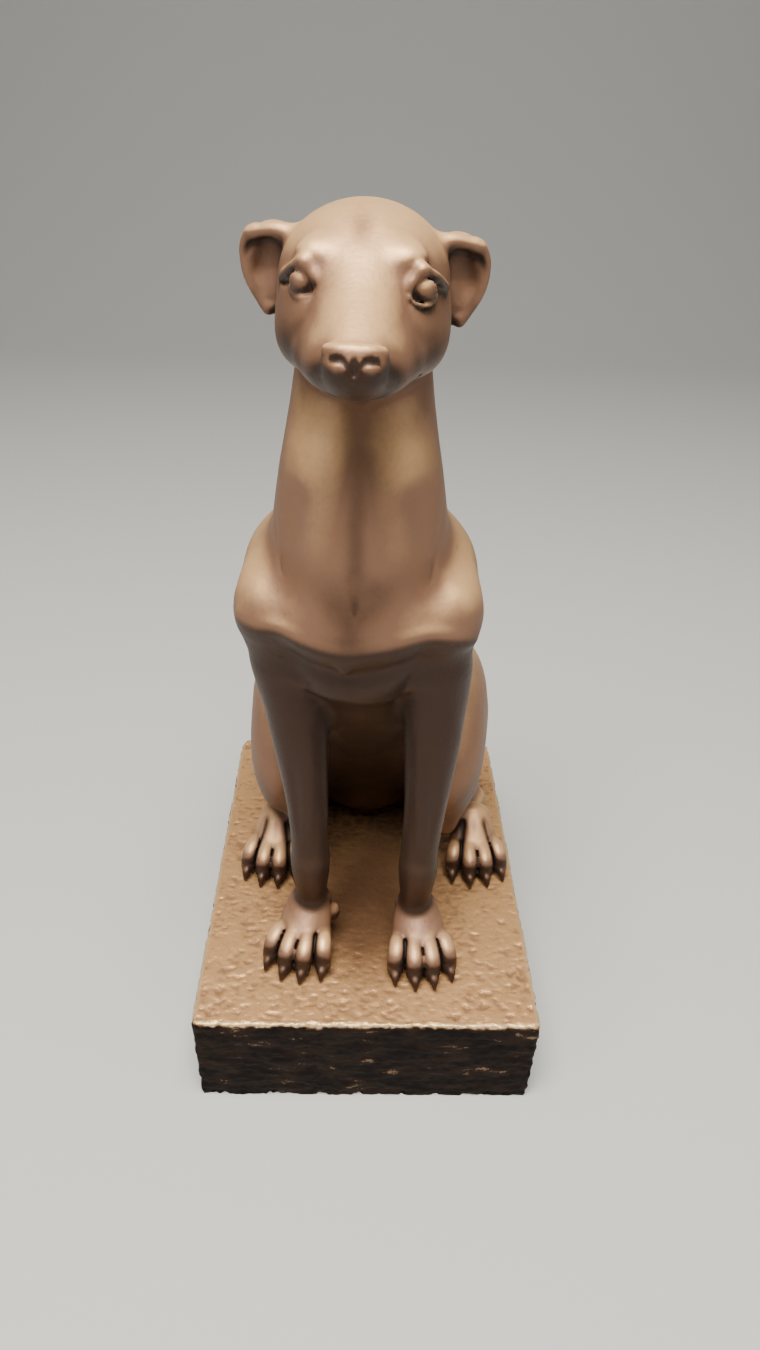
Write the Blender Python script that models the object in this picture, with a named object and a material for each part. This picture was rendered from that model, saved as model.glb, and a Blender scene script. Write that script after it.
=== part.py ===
"""Statue of a sitting greyhound on a rectangular plinth, cast in resin and finished as bronze.

Metres, +Z up. The origin is the middle of the plinth's underside and the dog looks along -Y.
The dog is modelled as a sculptor builds one up: masses of clay that flow into each other,
then strokes that raise or sink the skin. Its forms are shares of its own height.
"""

import math

import bmesh
import bpy
import numpy as np

PLINTH_WIDTH = 0.127
PLINTH_LENGTH = 0.183
PLINTH_HEIGHT = 0.040
FRONT_ROUNDING = 0.0025
BACK_ROUNDING = 0.0070

FIGURE_HEIGHT = 0.264
FIGURE_TURN = math.radians(-3.8)
FIGURE_OFFSET_X = -0.0045
FIGURE_PIVOT_Y = -0.050
SEAT_GAP = 0.0003

# The sculpture below is written in millimetres of a dog this tall.
SCULPTED_HEIGHT = 264.0
UNIT = FIGURE_HEIGHT / SCULPTED_HEIGHT

CELL = 1.3
REMESH_CELL = 1.0
COARSE = 4
FACES_WANTED = 8600
OUTSIDE = 60.0
PATH_STEPS = 6
LEFT_AND_RIGHT = (-1, 1)
BODY_SHIFT = -2.0
LEG_SHIFT = 2.7

BRONZE = (0.30, 0.19, 0.115, 1.0)
STONE_BRONZE = (0.36, 0.24, 0.13, 1.0)


def clear_scene():
    for thing in list(bpy.data.objects):
        bpy.data.objects.remove(thing)


def metal(name, colour, roughness, metallic):
    material = bpy.data.materials.new(name)
    material.use_nodes = True
    shader = material.node_tree.nodes["Principled BSDF"]
    shader.inputs["Base Color"].default_value = colour
    shader.inputs["Roughness"].default_value = roughness
    shader.inputs["Metallic"].default_value = metallic
    return material


def smooth_path(points, radii, steps=PATH_STEPS):
    """Points and radii along a Catmull-Rom curve through the stations given."""
    stations = np.column_stack([points, radii]).astype(float)
    ends = np.vstack([2 * stations[0] - stations[1], stations, 2 * stations[-1] - stations[-2]])
    t = np.linspace(0, 1, steps, endpoint=False)[:, None]
    spans = []
    for a, b, c, d in zip(ends, ends[1:], ends[2:], ends[3:]):
        spans.append(0.5 * (2 * b + (c - a) * t + (2 * a - 5 * b + 4 * c - d) * t**2
                            + (3 * b - a - 3 * c + d) * t**3))
    curve = np.vstack(spans + [stations[-1:]])
    return curve[:, :3], curve[:, 3]


class Clay:
    """Masses and strokes, and how far a point is from the skin that they make."""

    def __init__(self):
        self.steps = []
        self.shift = 0.0

    def moved(self, points):
        return np.array(points, float) + (self.shift, 0, 0)

    def ball(self, centre, radii, blend=4.0, tip=0.0, scoop=False):
        """An ellipsoid. tip turns it about X, front end up, in degrees. A scoop is cut away."""
        radii = np.array(radii, float)
        reach = np.full(3, radii.max()) if tip else radii
        self.steps.append(("ball", self.moved(centre), reach, (radii, math.radians(tip)), blend, scoop))

    def limb(self, points, radii, blend=4.0, flat=(1, 1, 1), scoop=False):
        """A tapering rod along a curve. flat widens or narrows its section along X, Y and Z."""
        curve, radius = smooth_path(self.moved(points), radii)
        low, high = curve.min(0), curve.max(0)
        reach = (high - low) / 2 + radius.max() * max(flat)
        self.steps.append(("limb", (low + high) / 2, reach, (curve, radius, np.array(flat, float)), blend, scoop))

    def stroke(self, points, width, height):
        """A soft ridge along a curve, or a groove where height is negative."""
        widths = np.broadcast_to(width, len(points))
        curve, wide = smooth_path(self.moved(points), widths)
        low, high = curve.min(0), curve.max(0)
        reach = (high - low) / 2 + 2.4 * wide.max()
        self.steps.append(("stroke", (low + high) / 2, reach, (curve, wide), height, False))

    @staticmethod
    def ball_distance(p, radii, tip):
        if tip:
            c, s = math.cos(tip), math.sin(tip)
            p = np.column_stack([p[:, 0], c * p[:, 1] - s * p[:, 2], s * p[:, 1] + c * p[:, 2]])
        scaled = np.linalg.norm(p / radii, axis=1)
        slope = np.linalg.norm(p / radii**2, axis=1)
        return scaled * (scaled - 1) / np.maximum(slope, 1e-6)

    @staticmethod
    def nearest(p, curve, size):
        """The way from the closest place on a curve to each point, and the size there."""
        best = np.full(len(p), np.inf)
        way, there = np.zeros_like(p), np.zeros(len(p))
        for a, b, size_a, size_b in zip(curve, curve[1:], size, size[1:]):
            along = b - a
            share = np.clip((p - a) @ along / max(along @ along, 1e-9), 0, 1)
            off = p - a - share[:, None] * along
            far = np.einsum("ij,ij->i", off, off)
            closer = far < best
            best[closer] = far[closer]
            way[closer] = off[closer]
            there[closer] = (size_a + (size_b - size_a) * share)[closer]
        return way, there

    @classmethod
    def limb_distance(cls, p, curve, radius, flat):
        way, size = cls.nearest(p, curve, radius)
        scaled = np.linalg.norm(way / flat, axis=1)
        slope = np.linalg.norm(way / flat**2, axis=1)
        return (scaled - size) * np.where(slope > 1e-6, scaled / np.maximum(slope, 1e-6), 1)

    @classmethod
    def stroke_profile(cls, p, curve, wide):
        way, size = cls.nearest(p, curve, wide)
        return np.exp(-np.einsum("ij,ij->i", way, way) / size**2)

    def distance(self, points, margin=3.0):
        """Signed distance to the skin in millimetres, negative inside; exact only near it."""
        found = np.full(len(points), OUTSIDE)
        for kind, centre, reach, shape, blend, scoop in self.steps:
            spare = 0.0 if kind == "stroke" else margin + blend
            near = np.flatnonzero((np.abs(points - centre) < reach + spare).all(axis=1))
            if not len(near):
                continue
            p, now = points[near], found[near]
            if kind == "stroke":
                found[near] = now - blend * self.stroke_profile(p, *shape)
                continue
            if kind == "ball":
                new = self.ball_distance(p - centre, *shape)
            else:
                new = self.limb_distance(p, *shape)
            if scoop:
                mix = np.clip(0.5 - 0.5 * (now + new) / blend, 0, 1)
                found[near] = now + (-new - now) * mix + blend * mix * (1 - mix)
            else:
                mix = np.clip(0.5 + 0.5 * (now - new) / blend, 0, 1)
                found[near] = now + (new - now) * mix - blend * mix * (1 - mix)
        return np.maximum(found, -points[:, 2])


def torso(clay):
    clay.limb([(0, -32, 142), (0, -12, 112), (0, 14, 78), (0, 34, 48), (0, 44, 28)],
              [28, 33, 30, 28, 29], 4, (0.93, 1, 1))
    clay.ball((0, -6, 140), (26, 24, 25), 16)
    clay.ball((0, -14, 156), (22, 17, 15), 12)
    clay.ball((0, 42, 50), (27, 29, 36), 14, tip=-25)
    for side in LEFT_AND_RIGHT:
        clay.limb([(side * 26, -40, 142), (side * 25.5, -24, 152), (side * 19, -9, 159)], [13, 13, 9], 14)
        clay.ball((side * 29.5, -42, 144), (10.5, 12, 11.5), 7)
    clay.ball((0, -46, 139), (27, 19.5, 22), 8)
    clay.ball((0, -40, 121), (19, 19, 13), 8)


def neck(clay):
    clay.limb([(0, -28, 240), (0, -34, 214), (0, -36, 200), (0, -37, 187), (0, -35, 170), (0, -30, 150)],
              [18, 21, 23.2, 25.6, 28.2, 31], 7, (1, 1.04, 1))
    clay.stroke([(0, -55, 218), (0, -59, 200), (0, -62, 184), (0, -63.5, 166), (0, -64.5, 150), (0, -66, 136)],
                [2.6, 3.0, 3.2, 3.4, 3.6, 3], -2.6)
    for side in LEFT_AND_RIGHT:
        clay.stroke([(side * 19, -57, 172), (side * 23, -53, 158), (side * 22, -54, 146)], 6, -1.2)
    clay.stroke([(-37, -49, 132), (-30, -54, 136), (-20, -60, 129), (-8, -64, 120.5), (0, -65, 118),
                 (8, -64, 120.5), (20, -60, 129), (30, -54, 136), (37, -49, 133)], 4.0, 1.8)
    clay.stroke([(-29, -49, 129), (-20, -52, 119), (-8, -57, 112), (8, -57, 112), (20, -52, 119),
                 (29, -49, 129)], 4.0, -1.6)
    clay.stroke([(-4, -64, 124), (-4, -63, 121)], 2.2, 1.2)


def front_leg(clay, side):
    def at(x, y, z):
        return (side * x + np.interp(z, [66, 94, 118, 136], [2.7, 1.6, -0.5, -2.0]), y, z)

    clay.limb([at(27.6, -43, 136), at(26.4, -36, 114), at(24.5, -32, 94)], [11, 11, 9], 7)
    clay.limb([at(25.2, -40, 118), at(23.8, -41, 94), at(21.7, -45, 66), at(20.5, -47, 46),
               at(20.3, -47.5, 36), at(19.8, -48, 20)], [10.6, 10.4, 8.0, 7.1, 7.5, 6.2], 5, (1, 1.08, 1))
    clay.stroke([at(19, -52, 92), at(19.5, -53.5, 66), at(20, -55, 46)], 2.2, 0.8)
    clay.stroke([at(24.5, -51, 88), at(24, -52, 66), at(22.8, -53.5, 48)], 1.8, -0.7)
    clay.shift = LEG_SHIFT
    paw(clay, side, (20.6, -48), 10)


def hind_leg(clay, side, foot, turn):
    """A leg folded under: its foot lies flat from hock to toes and the shank lies along it."""
    x, y = foot
    clay.ball((side * 30.5, 27, 60), (20, 34, 36), 15, tip=-14)
    clay.ball((side * 33, 2, 48), (13, 19, 23), 12)
    clay.ball((side * 17, 44, 18), (14, 13, 24), 6)
    clay.limb([(side * (x - 3), y + 22, 18), (side * (x - 8.5), y + 1, 19.5), (side * (x - 12.5), y - 14, 25),
               (side * (x - 13), y - 12, 38)], [6.8, 5.2, 5.6, 9], 5)
    clay.limb([(side * x, y + 22, 10), (side * (x - 1.5), y + 12, 9), (side * x, y, 8.5)], [7.5, 6.4, 6.6], 3)
    paw(clay, side, foot, turn)


def paw(clay, side, heel, turn):
    """A foot from its heel at (x, y) on the side, turned outwards, with toes that end in claws."""
    forward = np.array([side * math.sin(math.radians(turn)), -math.cos(math.radians(turn)), 0])
    outward = np.array([side * math.cos(math.radians(turn)), math.sin(math.radians(turn)), 0])
    start = np.array([side * heel[0], heel[1], 0])

    def place(out, ahead, up):
        return tuple(start + out * outward + ahead * forward + (0, 0, up))

    clay.limb([place(0, -1, 18), place(0, 4, 12.5), place(0, 9, 8)], [5.8, 7.2, 7.4], 3, (1.35, 1, 0.9))
    clay.ball(place(0, 9, 3), (11.5, 9, 4), 2)
    toes = (-1.5, -0.5, 0.5, 1.5)
    for spread in toes:
        long = 3.2 * (1.5 - abs(spread))
        clay.limb([place(spread * 5.2, 7, 10.2), place(spread * 5.9, 12 + 0.5 * long, 10.8),
                   place(spread * 6.5, 16.6 + long, 8), place(spread * 6.8, 17.8 + long, 4)],
                  [3.3, 3.75, 3.8, 3.3], 0.6)
    for spread in toes:
        long = 3.2 * (1.5 - abs(spread))
        clay.limb([place(spread * 6.8, 18.4 + long, 4.6), place(spread * 7.1, 21.6 + long, 3.4),
                   place(spread * 7.3, 24 + long, 0.9)], [2.0, 1.4, 0.6], 0.5)
    for gap in (-1, 0, 1):
        ahead = 1.6 * (1 - abs(gap))
        clay.stroke([place(gap * 5.4, 9, 12.4), place(gap * 5.9, 12.5 + ahead, 12), place(gap * 6.5, 17 + ahead, 9.2),
                     place(gap * 6.8, 20 + ahead, 5)], [1.5, 0.8, 0.8, 0.8], -2.2)


def head(clay):
    def at(x, y, z):
        return (x + 0.03 * (-y - 40), y, z - 0.025 * x)

    clay.ball(at(0, -44, 239.6), (23.8, 30, 24.2), 6)
    clay.ball(at(0, -43, 246.4), (22.8, 27, 17.4), 4)
    clay.limb([at(0, -56, 242), at(0, -70, 240.6), at(0, -84, 235.2), at(0, -94.5, 231.2)],
              [14, 10.0, 8.2, 6.6], 7, (1.15, 1, 0.95))
    clay.limb([at(-14, -58, 231), at(-10.4, -75, 230), at(-5.6, -87, 229.6), at(0, -91, 229.6),
               at(5.6, -87, 229.6), at(10.4, -75, 230), at(14, -58, 231)], [7, 5.6, 5, 5, 5, 5.6, 7], 5)
    clay.limb([at(-13.5, -58, 226.6), at(-10.6, -75, 225.4), at(-5.8, -86, 225), at(0, -89.5, 225),
               at(5.8, -86, 225), at(10.6, -75, 225.4), at(13.5, -58, 226.6)], [4.4, 3.2, 3, 3, 3, 3.2, 4.4], 1.2)
    clay.ball(at(0, -66, 228), (12, 22, 5.5), 3)
    for side in LEFT_AND_RIGHT:
        clay.ball(at(side * 14, -52, 232.5), (9.3, 15, 10.5), 6)
        clay.ball(at(side * 11.4, -64.5, 252), (4.6, 4.6, 3.8), 3)
        eye(clay, side, at)
        ear(clay, side, at)
    nose(clay, at)
    clay.stroke([at(0, -57, 262), at(0, -64, 256)], 3.5, -1.0)


def eye(clay, side, at):
    clay.ball(at(side * 17.4, -71.4, 245.6), (5.6, 6.6, 4.2), 1.6, scoop=True)
    clay.limb([at(side * 22, -58.6, 246), at(side * 19.4, -63.4, 249.8), at(side * 15.4, -67.4, 251),
               at(side * 12.6, -70, 248.2), at(side * 11.6, -71.4, 245.4)], [0.9, 1.3, 1.5, 1.2, 0.9], 2.0)
    clay.ball(at(side * 15.6, -64.4, 245.6), (4.1, 4.6, 4.2), 0.5)
    clay.stroke([at(side * 12.6, -68.6, 247.6), at(side * 15.4, -66.8, 249.2), at(side * 18.9, -63.4, 247.4),
                 at(side * 22.4, -58.8, 244.2)], [0.7, 1.0, 1.4, 1.2], -2.4)
    clay.limb([at(side * 12, -71, 245.2), at(side * 13.4, -70.6, 242.7), at(side * 15.8, -69.3, 241.3),
               at(side * 18.4, -66.6, 241.9), at(side * 20.4, -63.4, 243.6)], [0.6, 0.8, 0.85, 0.8, 0.6], 0.9)


def nose(clay, at):
    clay.ball(at(0, -95.6, 233.2), (8.1, 5.6, 3.9), 1.5)
    clay.limb([at(-6.4, -95, 235.2), at(0, -97, 235.8), at(6.4, -95, 235.2)], [1.5, 1.7, 1.5], 2.0)
    for side in LEFT_AND_RIGHT:
        clay.stroke([at(side * 6.6, -98.4, 233.8), at(side * 4.6, -100.2, 233.4), at(side * 3.2, -100.8, 232.0)],
                    [0.6, 1.1, 0.8], -2.0)
        clay.stroke([at(side * 5.2, -100.8, 231.0), at(side * 3, -101.2, 230.4)], 0.9, 0.7)
        clay.stroke([at(side * 11.4, -72, 243.6), at(side * 12.6, -74, 238), at(side * 13.4, -73.6, 231)], 1.6, -1.0)
    clay.stroke([at(0, -101, 233), at(0, -100.6, 230), at(0, -95.2, 226)], 0.9, -1.5)
    lip = [(18.6, -59, 228.8), (17, -65, 227.2), (14.2, -75, 226.6), (8.6, -88, 226.6)]
    clay.stroke([at(x, y, z) for x, y, z in lip] + [at(0, -92.6, 226.6)]
                + [at(-x, y, z) for x, y, z in reversed(lip)], [0.4, 0.6, 0.7, 0.7, 0.7, 0.7, 0.7, 0.6, 0.4], -1.5)


def ear(clay, side, at):
    clay.limb([at(side * 24, -34, 250), at(side * 26.4, -33, 243), at(side * 25.6, -34, 235.5)],
              [5.8, 7.0, 4.6], 2.5, (1.1, 0.9, 1))
    clay.limb([at(side * 27.4, -41, 249.6), at(side * 28.2, -41, 243), at(side * 26.8, -40, 236.5)],
              [5.4, 6.2, 3.6], 1.0, (1, 1.1, 1), scoop=True)
    clay.limb([at(side * 17, -42, 252), at(side * 24.5, -41.5, 254), at(side * 31.2, -39.5, 252.8)],
              [4.6, 2.3, 1.6], 1.5)
    clay.limb([at(side * 31.2, -39.5, 252.8), at(side * 33.4, -37, 247), at(side * 32.2, -36.5, 239.5),
               at(side * 27.6, -37, 232.8)], [1.6, 1.5, 1.5, 2.0], 1.0)


def tail(clay):
    clay.limb([(0, 68, 20), (-8, 76, 9), (-24, 74, 5.5), (-38, 62, 4.6), (-44, 48, 4.2)],
              [8, 6, 4.6, 4.0, 2.8], 3)


def greyhound():
    clay = Clay()
    clay.shift = BODY_SHIFT
    torso(clay)
    clay.shift = 0.0
    hind_leg(clay, -1, (37, 3), 2)
    hind_leg(clay, 1, (46, 10), 8)
    clay.shift = BODY_SHIFT
    neck(clay)
    for side in LEFT_AND_RIGHT:
        clay.shift = 0.0
        front_leg(clay, side)
    clay.shift = BODY_SHIFT
    head(clay)
    clay.shift = 0.0
    tail(clay)
    return clay


def grid_distance(clay, low, shape, cell):
    """Distances at the corners of a grid, worked out finely only near the skin."""
    blocks = [-(-n // COARSE) for n in shape]
    step = COARSE * cell
    axes = [low[i] + step * (np.arange(blocks[i]) + 0.5) - cell / 2 for i in range(3)]
    middles = np.stack(np.meshgrid(*axes, indexing="ij"), -1).reshape(-1, 3)
    reach = step * 1.1
    rough = clay.distance(middles, reach + 3).reshape(blocks)
    whole = rough.repeat(COARSE, 0).repeat(COARSE, 1).repeat(COARSE, 2)
    near = (np.abs(rough) < reach).repeat(COARSE, 0).repeat(COARSE, 1).repeat(COARSE, 2)
    index = np.argwhere(near)
    whole[near] = clay.distance(low + cell * index)
    return whole


def skin(values, low, cell):
    """Points and quads of the surface where the grid's values change sign, one point for each cell it crosses."""
    inside = values < 0
    cells = [n - 1 for n in values.shape]
    corners = [(i, j, k) for i in (0, 1) for j in (0, 1) for k in (0, 1)]

    def corner(array, c):
        return array[c[0]:c[0] + cells[0], c[1]:c[1] + cells[1], c[2]:c[2] + cells[2]]

    count = sum(corner(inside, c).astype(np.int8) for c in corners)
    crossed = (count > 0) & (count < 8)
    number = np.full(cells, -1)
    number[crossed] = np.arange(crossed.sum())
    where = np.argwhere(crossed)
    total = np.zeros((len(where), 3))
    hits = np.zeros(len(where))
    for first in corners:
        for axis in range(3):
            if first[axis]:
                continue
            second = tuple(first[i] + (i == axis) for i in range(3))
            a, b = corner(values, first)[crossed], corner(values, second)[crossed]
            cut = (a < 0) != (b < 0)
            point = np.repeat([np.array(first, float)], len(where), 0)
            point[:, axis] += np.where(cut, a / np.where(cut, a - b, 1), 0)
            total += point * cut[:, None]
            hits += cut
    points = low + cell * (where + total / hits[:, None])
    quads = []
    for axis in range(3):
        u, v = (axis + 1) % 3, (axis + 2) % 3
        ahead = np.roll(inside, -1, axis)
        change = inside != ahead
        keep = [slice(1, n - 1) for n in inside.shape]
        keep[axis] = slice(0, inside.shape[axis] - 1)
        mask = np.zeros_like(change)
        mask[tuple(keep)] = change[tuple(keep)]
        place = np.argwhere(mask)
        ring = []
        for du, dv in ((1, 1), (0, 1), (0, 0), (1, 0)):
            at = place.copy()
            at[:, u] -= du
            at[:, v] -= dv
            ring.append(number[tuple(at.T)])
        ring = np.stack(ring, 1)
        outward = inside[tuple(place.T)]
        ring[~outward] = ring[~outward][:, ::-1]
        quads.append(ring)
    return points, np.vstack(quads)


def press(clay, points, rounds=2, probe=0.15):
    """Moves points on to the skin along its slope."""
    for _ in range(rounds):
        here = clay.distance(points)
        slope = np.stack([clay.distance(points + probe * axis) - here for axis in np.eye(3)], 1) / probe
        points = points - np.clip(here / np.maximum((slope**2).sum(1), 0.2), -2, 2)[:, None] * slope
    return points


def sculpt(clay, cell):
    low = np.array([-68.0, -112.0, -2.6])
    high = np.array([68.0, 96.0, 268.0])
    shape = np.ceil((high - low) / cell).astype(int)
    values = grid_distance(clay, low, shape, cell)
    return skin(values, low, cell)


def mesh_object(name, points, faces, material):
    mesh = bpy.data.meshes.new(name)
    mesh.from_pydata(points.tolist(), [], [list(face) for face in faces])
    mesh.materials.append(material)
    thing = bpy.data.objects.new(name, mesh)
    bpy.context.scene.collection.objects.link(thing)
    return thing


def settle(thing):
    """Makes the modifiers permanent."""
    bpy.context.view_layer.update()
    graph = bpy.context.evaluated_depsgraph_get()
    mesh = bpy.data.meshes.new_from_object(thing.evaluated_get(graph))
    thing.modifiers.clear()
    thing.data = mesh


def triangulate(thing):
    shape = bmesh.new()
    shape.from_mesh(thing.data)
    bmesh.ops.triangulate(shape, faces=shape.faces)
    bmesh.ops.recalc_face_normals(shape, faces=shape.faces)
    shape.to_mesh(thing.data)
    shape.free()


def build_greyhound():
    clay = greyhound()
    points, quads = sculpt(clay, CELL)
    material = metal("aged bronze paint", BRONZE, 0.42, 0.75)
    thing = mesh_object("greyhound", points, quads, material)
    remesh = thing.modifiers.new("even", "REMESH")
    remesh.mode = "VOXEL"
    remesh.voxel_size = REMESH_CELL
    settle(thing)
    count = len(thing.data.vertices)
    flat = np.empty(count * 3)
    thing.data.vertices.foreach_get("co", flat)
    pressed = press(clay, flat.reshape(-1, 3))
    pressed[:, 2] = np.maximum(pressed[:, 2], 0)
    thing.data.vertices.foreach_set("co", pressed.ravel())
    triangulate(thing)
    thin = thing.modifiers.new("fewer", "DECIMATE")
    thin.ratio = FACES_WANTED / len(thing.data.polygons)
    settle(thing)
    triangulate(thing)
    count = len(thing.data.vertices)
    flat = np.empty(count * 3)
    thing.data.vertices.foreach_get("co", flat)
    placed = (flat.reshape(-1, 3) - (0, FIGURE_PIVOT_Y / UNIT, 0)) * UNIT
    thing.data.vertices.foreach_set("co", placed.ravel())
    thing.data.materials.clear()
    thing.data.materials.append(material)
    thing.data.update()
    thing.location = (FIGURE_OFFSET_X, FIGURE_PIVOT_Y, PLINTH_HEIGHT + SEAT_GAP)
    thing.rotation_euler = (0, 0, FIGURE_TURN)


def outline(inset, wear):
    """Points round the block, a little way in from its sides, with an edge that wanders by the wear."""
    half_x, half_y = PLINTH_WIDTH / 2, PLINTH_LENGTH / 2
    corners = ((1, -1, FRONT_ROUNDING), (1, 1, BACK_ROUNDING), (-1, 1, BACK_ROUNDING), (-1, -1, FRONT_ROUNDING))
    path = []
    for index, (sx, sy, rounding) in enumerate(corners):
        centre = np.array([sx * (half_x - rounding), sy * (half_y - rounding)])
        for step in range(5):
            angle = math.radians(90 * index - 90 + 22.5 * step)
            path.append((centre + rounding * np.array([math.cos(angle), math.sin(angle)]), angle))
    places, angles = [], []
    for (a, angle_a), (b, angle_b) in zip(path, path[1:] + [(path[0][0], path[0][1] + 2 * math.pi)]):
        pieces = max(1, round(np.linalg.norm(b - a) / 0.0045))
        for piece in range(pieces):
            places.append(a + (b - a) * piece / pieces)
            angles.append(angle_a + (angle_b - angle_a) * piece / pieces)
    places, angles = np.array(places), np.array(angles)
    inward = -np.column_stack([np.cos(angles), np.sin(angles)])
    x, y = places[:, 0], places[:, 1]
    wander = np.sin(310 * x + 190 * y) + np.sin(523 * y - 277 * x + 1.3) + 0.8 * np.sin(811 * x + 907 * y + 0.7)
    return places + inward * (inset + wear * (0.5 + 0.22 * wander))[:, None]


def build_plinth():
    top = PLINTH_HEIGHT
    rings = [(0.0018, 0.0002, 0.0), (0.0009, 0.0009, 0.0016), (0.0006, 0.0012, top * 0.4),
             (0.0002, 0.0012, top * 0.75), (0.0, 0.0012, top - 0.0022), (0.0010, 0.0008, top - 0.0002),
             (0.0030, 0.0010, top - 0.0001), (0.0052, 0.0010, top - 0.0006)]
    loops = [outline(inset, wear) for inset, wear, _ in rings]
    count = len(loops[0])
    points = np.vstack([np.column_stack([loop, np.full(count, ring[2])]) for loop, ring in zip(loops, rings)])
    faces = []
    for level in range(len(rings) - 1):
        for i in range(count):
            j = (i + 1) % count
            faces.append((level * count + i, level * count + j, (level + 1) * count + j, (level + 1) * count + i))
    faces.append(tuple(range(count - 1, -1, -1)))
    faces.append(tuple((len(rings) - 1) * count + i for i in range(count)))
    thing = mesh_object("plinth", points, faces, metal("rough bronze paint", STONE_BRONZE, 0.5, 0.7))
    triangulate(thing)


clear_scene()
build_greyhound()
build_plinth()
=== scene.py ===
import math

import bmesh
import bpy
import numpy as np
from mathutils import Matrix, Vector, noise


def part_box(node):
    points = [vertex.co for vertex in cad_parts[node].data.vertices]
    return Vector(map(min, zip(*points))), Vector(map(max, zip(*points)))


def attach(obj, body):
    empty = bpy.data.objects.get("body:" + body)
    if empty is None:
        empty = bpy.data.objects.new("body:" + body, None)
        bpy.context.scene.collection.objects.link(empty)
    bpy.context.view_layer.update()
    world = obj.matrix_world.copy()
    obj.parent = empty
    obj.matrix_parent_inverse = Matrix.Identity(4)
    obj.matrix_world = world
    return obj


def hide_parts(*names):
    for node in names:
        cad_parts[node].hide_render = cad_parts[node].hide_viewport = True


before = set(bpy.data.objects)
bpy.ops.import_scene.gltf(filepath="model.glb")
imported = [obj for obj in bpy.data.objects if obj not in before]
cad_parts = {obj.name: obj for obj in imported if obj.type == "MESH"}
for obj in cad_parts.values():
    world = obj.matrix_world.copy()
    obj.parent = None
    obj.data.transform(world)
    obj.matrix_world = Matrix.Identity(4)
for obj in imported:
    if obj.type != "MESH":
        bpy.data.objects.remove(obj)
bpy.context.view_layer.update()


# The block that the dog sits on. It is cast in resin from a rough clay slab: its top was dabbed and
# wiped with gold bronze paint, its sides left almost black, and its arrises are chipped all round.
# Every length here is in metres.

BLOCK_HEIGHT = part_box("plinth")[1].z
BLOCK_WIDTH = 0.1264
BLOCK_LENGTH = 0.1830
FRONT_CORNER = 0.0025
BACK_CORNER = 0.0070
CORNER_SEGMENTS = 6
BLOCK_VOXEL = 0.00072
BLOCK_TRIANGLES = 190000
RIDGE_HEIGHT = 0.00026
FOLD_HEIGHT = 0.00030
SWELL_HEIGHT = 0.00024
TOP_SINK = 0.00042
HIGHEST_RISE = 0.00012
TAPER_DEPTH = 0.0016
CHIP_DEPTH = 0.0011
TURN_IN_DEPTH = 0.00080

bpy.ops.object.select_all(action="DESELECT")
bpy.ops.mesh.primitive_cube_add(size=1, location=(0, 0, BLOCK_HEIGHT / 2))
block = bpy.context.object
block.name = "plinth_block"
block.scale = (BLOCK_WIDTH, BLOCK_LENGTH, BLOCK_HEIGHT)
bpy.ops.object.transform_apply(location=True, rotation=False, scale=True)


def round_upright_edges(at_back, rounding):
    """Rounds the two corners at the back or at the front of the block."""
    bpy.ops.object.mode_set(mode="EDIT")
    bpy.ops.mesh.select_mode(type="EDGE")
    bpy.ops.mesh.select_all(action="DESELECT")
    shape = bmesh.from_edit_mesh(block.data)
    for edge in shape.edges:
        a, b = edge.verts[0].co, edge.verts[1].co
        edge.select_set(abs(a.z - b.z) > BLOCK_HEIGHT / 2 and (a.y > 0) == at_back)
    bmesh.update_edit_mesh(block.data)
    bpy.ops.mesh.bevel(offset=rounding, segments=CORNER_SEGMENTS, affect="EDGES")
    bpy.ops.object.mode_set(mode="OBJECT")


round_upright_edges(True, BACK_CORNER)
round_upright_edges(False, FRONT_CORNER)


def apply_modifier(thing, kind, **settings):
    """Adds one modifier to a piece and makes it permanent."""
    bpy.ops.object.select_all(action="DESELECT")
    thing.select_set(True)
    bpy.context.view_layer.objects.active = thing
    modifier = thing.modifiers.new("step", kind)
    for name, value in settings.items():
        setattr(modifier, name, value)
    bpy.ops.object.modifier_apply(modifier=modifier.name)


def points_of(thing):
    """The places of a piece's points, one row each."""
    flat = np.empty(len(thing.data.vertices) * 3)
    thing.data.vertices.foreach_get("co", flat)
    return flat.reshape(-1, 3)


def move_points(thing, points):
    """Puts a piece's points at new places."""
    thing.data.vertices.foreach_set("co", np.ascontiguousarray(points).ravel())
    thing.data.update()


def lumps(points, size, octaves=1, stretch=(1, 1, 1), seed=0.0):
    """Soft noise from about -1 to 1 whose lumps are this big, drawn out along the axes by the stretch."""
    scaled = points / (size * np.array(stretch)) + seed
    return np.array([noise.fractal(Vector(p), 0.9, 2.1, octaves) for p in scaled])


def creases(points, size, warp, seed=0.0):
    """0 in the middle of dents this big and 1 along the crooked ridges between them."""
    bent = points + warp * np.column_stack([lumps(points, size * 1.1, 2, seed=seed + 5),
                                            lumps(points, size * 1.1, 2, seed=seed + 9),
                                            lumps(points, size * 1.1, 2, seed=seed + 13)])
    found = []
    for p in bent / size + seed:
        near = noise.voronoi(Vector(p))[0]
        found.append(near[1] - near[0])
    return np.clip(1 - np.array(found) / 0.55, 0, 1) ** 1.6


def smooth_step(value, low, high):
    """0 at low and 1 at high, easing in between. Low may be the greater of the two."""
    share = np.clip((value - low) / (high - low), 0, 1)
    return share * share * (3 - 2 * share)


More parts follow.
